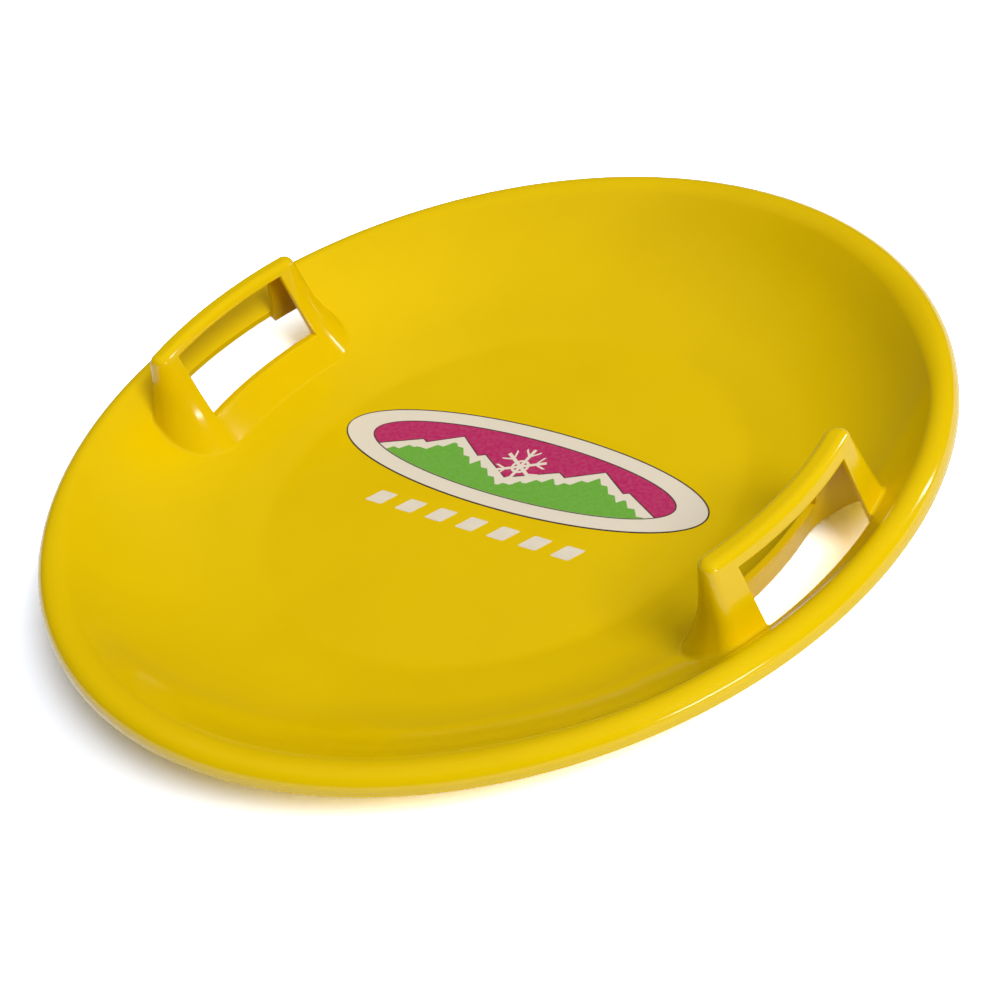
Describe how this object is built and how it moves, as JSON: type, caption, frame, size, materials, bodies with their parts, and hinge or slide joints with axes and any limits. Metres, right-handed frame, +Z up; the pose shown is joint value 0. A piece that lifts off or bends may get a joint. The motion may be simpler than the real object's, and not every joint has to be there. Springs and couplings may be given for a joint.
{
  "type": "saucer sled",
  "caption": "Round dished plastic snow sled with a flat floor, a rolled rim and hollow moulded-in grips on opposite sides, ridden sitting down on snow.",
  "frame": {"origin": "middle of the floor's underside, where the sled rests", "axes": "+Z up along the dish's axis, +X towards the right grip, +Y away from a rider who reads the label"},
  "size_m": [0.5999, 0.6, 0.087],
  "materials": {
    "yellow_plastic": "glossy moulded, evenly coloured through",
    "label_film": "printed film, satin",
    "decal_film": "printed film, satin"
  },
  "bodies": {
    "root": {"seat_floor": "yellow_plastic", "sloping_band": "yellow_plastic", "side_wall": "yellow_plastic", "rolled_rim": "yellow_plastic", "right_handle": "yellow_plastic", "left_handle": "yellow_plastic", "oval_label": "label_film", "stripe_decal": "decal_film"}
  },
  "joints": []
}
